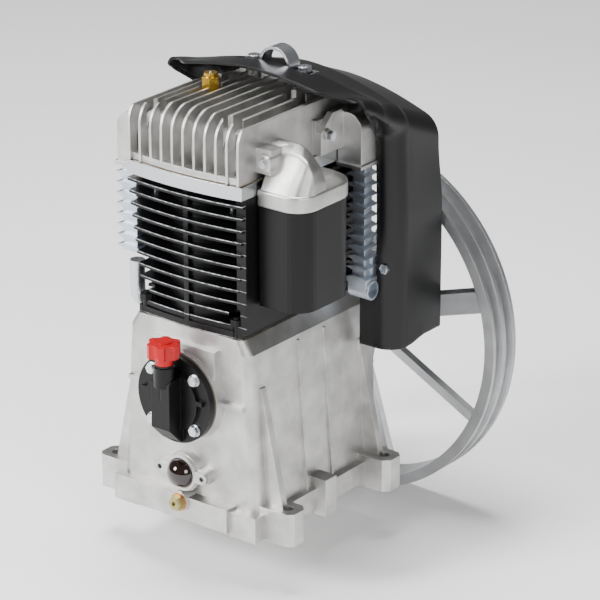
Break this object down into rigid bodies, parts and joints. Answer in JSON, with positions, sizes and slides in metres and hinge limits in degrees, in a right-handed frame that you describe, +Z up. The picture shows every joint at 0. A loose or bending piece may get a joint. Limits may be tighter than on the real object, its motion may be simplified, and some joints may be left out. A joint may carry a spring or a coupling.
{
  "type": "piston compressor pump",
  "caption": "Belt-driven two-stage piston compressor pump with two cylinders in line, finned coolers, side filter, cowl and a fan-spoke flywheel.",
  "frame": {"origin": "middle of the foot bolt pattern, on the plane the feet stand on", "axes": "+X to the right seen from the oil filler, +Y back to the flywheel along the crankshaft, +Z up"},
  "size_m": [0.4, 0.3641, 0.5367],
  "materials": {
    "cast_aluminium": "sandblasted casting",
    "cooler_aluminium": "die cast fins",
    "black_cast_iron": "black enamel on a casting",
    "cast_iron": "bare, machined faces",
    "black_plastic": "moulded, slightly textured",
    "red_plastic": "glossy moulding",
    "steel": "machined and ground",
    "zinc_steel": "zinc plated",
    "yellow_zinc_steel": "yellow zinc plated",
    "brass": "turned",
    "copper_washer": "soft copper",
    "gasket_paper": "fibre gasket sheet",
    "rubber": "nitrile rubber",
    "amber_glass": "clear domed lens over dark oil",
    "filter_paper": "pleated paper"
  },
  "bodies": {
    "machine": {"crankcase": "cast_aluminium", "front_bearing": "steel", "rear_bearing": "steel", "rear_carrier": "cast_aluminium", "rear_carrier_gasket": "gasket_paper", "rear_carrier_bolts": "zinc_steel", "rear_shaft_seal": "rubber", "front_cover": "black_plastic", "front_cover_gasket": "gasket_paper", "front_cover_bolts": "zinc_steel", "sight_glass": "amber_glass", "sight_glass_flange": "cast_aluminium", "drain_plug": "yellow_zinc_steel", "drain_washer": "copper_washer", "block_gasket": "gasket_paper", "cylinder_block": "black_cast_iron", "block_nuts": "black_cast_iron", "plate_gasket": "gasket_paper", "valve_plate": "steel", "valve_reeds": "steel", "head_gasket": "gasket_paper", "cylinder_head": "cast_aluminium", "head_bolts": "zinc_steel", "safety_valve": "brass", "safety_spring": "steel", "filter_housing": "black_plastic", "filter_element": "filter_paper", "filter_cap": "cast_aluminium", "filter_cap_screw": "zinc_steel", "right_header": "cast_aluminium", "left_header": "cast_aluminium", "header_bolts": "zinc_steel", "aftercooler": "cooler_aluminium", "intercooler_front": "cooler_aluminium", "intercooler_rear": "cooler_aluminium", "crossover_pipe": "zinc_steel", "cowl": "black_plastic", "cowl_bolts": "zinc_steel", "lifting_strap": "zinc_steel", "strap_bolts": "zinc_steel"},
    "running_gear": {"crankshaft": "steel", "front_inner_race": "steel", "rear_inner_race": "steel", "flywheel": "cast_iron", "flywheel_key": "steel", "flywheel_washer": "zinc_steel", "flywheel_bolt": "zinc_steel"},
    "low_piston_body": {"low_piston": "cast_aluminium", "low_rings": "cast_iron", "low_wrist_pin": "steel"},
    "low_rod_body": {"low_rod": "cast_aluminium", "low_crankpin": "steel"},
    "high_piston_body": {"high_piston": "cast_aluminium", "high_rings": "cast_iron", "high_wrist_pin": "steel"},
    "high_rod_body": {"high_rod": "cast_aluminium", "high_crankpin": "steel"},
    "filler_seal": {"oil_filler_seal": "rubber"},
    "filler_knob": {"oil_filler": "red_plastic"},
    "relief_stem": {"safety_stem": "steel"}
  },
  "joints": [
    {"name": "crank_spin", "type": "hinge", "parent": "machine", "child": "running_gear", "pos_m": [0, 0, 0.144], "axis": [0, 1, 0], "continuous": true},
    {"name": "low_stroke", "type": "slide", "parent": "machine", "child": "low_piston_body", "axis": [0, 0, 1], "range_m": [-0.07, 0]},
    {"name": "low_swing", "type": "hinge", "parent": "low_piston_body", "child": "low_rod_body", "pos_m": [0, -0.044, 0.334], "axis": [0, 1, 0], "range_deg": [-13.05, 13.05]},
    {"name": "high_stroke", "type": "slide", "parent": "machine", "child": "high_piston_body", "axis": [0, 0, 1], "range_m": [0, 0.07]},
    {"name": "high_swing", "type": "hinge", "parent": "high_piston_body", "child": "high_rod_body", "pos_m": [0, 0.052, 0.264], "axis": [0, 1, 0], "range_deg": [-13.05, 13.05]},
    {"name": "filler_lift", "type": "slide", "parent": "machine", "child": "filler_seal", "axis": [0, 0, 1], "range_m": [0, 0.008]},
    {"name": "filler_turn", "type": "hinge", "parent": "filler_seal", "child": "filler_knob", "pos_m": [0, -0.1415, 0.186], "axis": [0, 0, 1], "range_deg": [0, 1440]},
    {"name": "relief_lift", "type": "slide", "parent": "machine", "child": "relief_stem", "axis": [0, 0, 1], "range_m": [0, 0.002], "stiffness_N_per_m": 2000, "springref_m": -0.005, "deforming": ["safety_spring"]}
  ],
  "couplings": [
    {"joint": "filler_lift", "follows": "filler_turn", "m_per_rad": 0.00031831}
  ]
}
